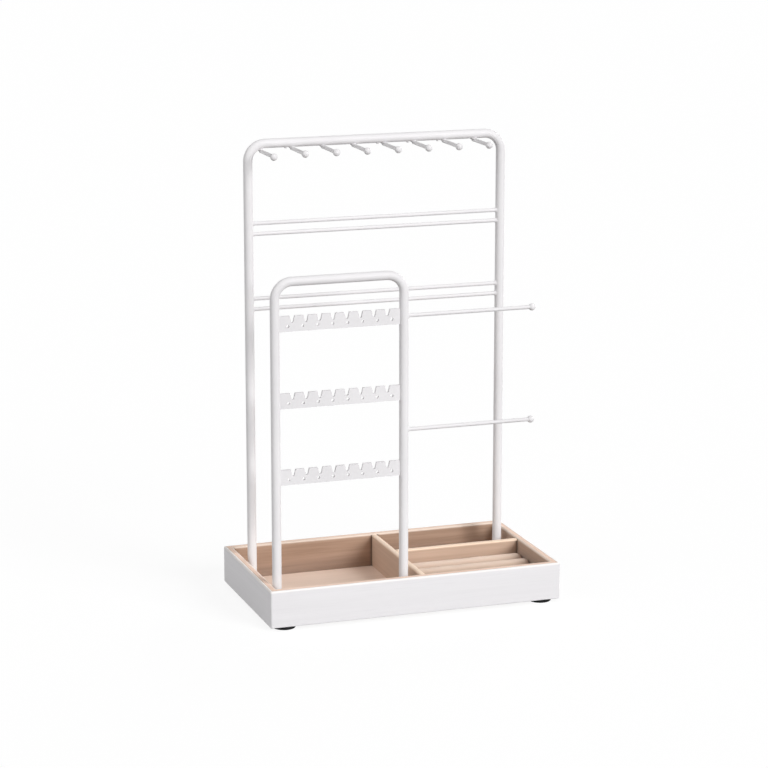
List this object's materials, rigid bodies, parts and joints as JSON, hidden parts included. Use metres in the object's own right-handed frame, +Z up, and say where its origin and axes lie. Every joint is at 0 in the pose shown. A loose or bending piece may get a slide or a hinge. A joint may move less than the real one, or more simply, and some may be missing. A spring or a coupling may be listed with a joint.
{
  "type": "jewellery stand with divided tray",
  "caption": "Open divided tray with a padded ring section, carrying a tall bent-tube frame with necklace pegs and a short frame with notched earring bars and bracelet rods.",
  "frame": {"origin": "middle of the tray's footprint, on the surface that the feet stand on", "axes": "+X to the right along the tray's front wall, +Y from the front wall to the back wall, +Z up"},
  "size_m": [0.28, 0.155, 0.4282],
  "materials": {
    "tray_wall": "white limed grain outside, bare tan inside and on the rim, matte",
    "tray_lining": "pale tan fine grain, matte",
    "roll_velvet": "tan short-pile velvet",
    "white_tube": "white powder coat, satin",
    "white_strip": "white powder coat, satin",
    "plated_steel": "zinc plated",
    "black_rubber": "matte black"
  },
  "bodies": {
    "root": {"tray_front_wall": "tray_wall", "tray_back_wall": "tray_wall", "tray_left_wall": "tray_wall", "tray_right_wall": "tray_wall", "tray_floor": "tray_lining", "long_divider": "tray_lining", "cross_divider": "tray_lining", "ring_cushion_board": "roll_velvet", "ring_roll_1": "roll_velvet", "ring_roll_2": "roll_velvet", "ring_roll_3": "roll_velvet", "ring_roll_4": "roll_velvet", "tall_frame_tube": "white_tube", "short_frame_tube": "white_tube", "upper_pair_top_bar": "white_tube", "upper_pair_bottom_bar": "white_tube", "lower_pair_top_bar": "white_tube", "lower_pair_bottom_bar": "white_tube", "necklace_hook_1": "white_tube", "necklace_hook_2": "white_tube", "necklace_hook_3": "white_tube", "necklace_hook_4": "white_tube", "necklace_hook_5": "white_tube", "necklace_hook_6": "white_tube", "necklace_hook_7": "white_tube", "necklace_hook_8": "white_tube", "bracelet_rod_upper": "white_tube", "bracelet_rod_lower": "white_tube", "earring_bar_top": "white_strip", "earring_bar_middle": "white_strip", "earring_bar_bottom": "white_strip", "post_plug_tall_left": "plated_steel", "post_plug_tall_right": "plated_steel", "post_plug_short_left": "plated_steel", "post_plug_short_right": "plated_steel", "frame_screws": "plated_steel", "rubber_foot_front_left": "black_rubber", "rubber_foot_front_right": "black_rubber", "rubber_foot_back_left": "black_rubber", "rubber_foot_back_right": "black_rubber"}
  },
  "joints": []
}
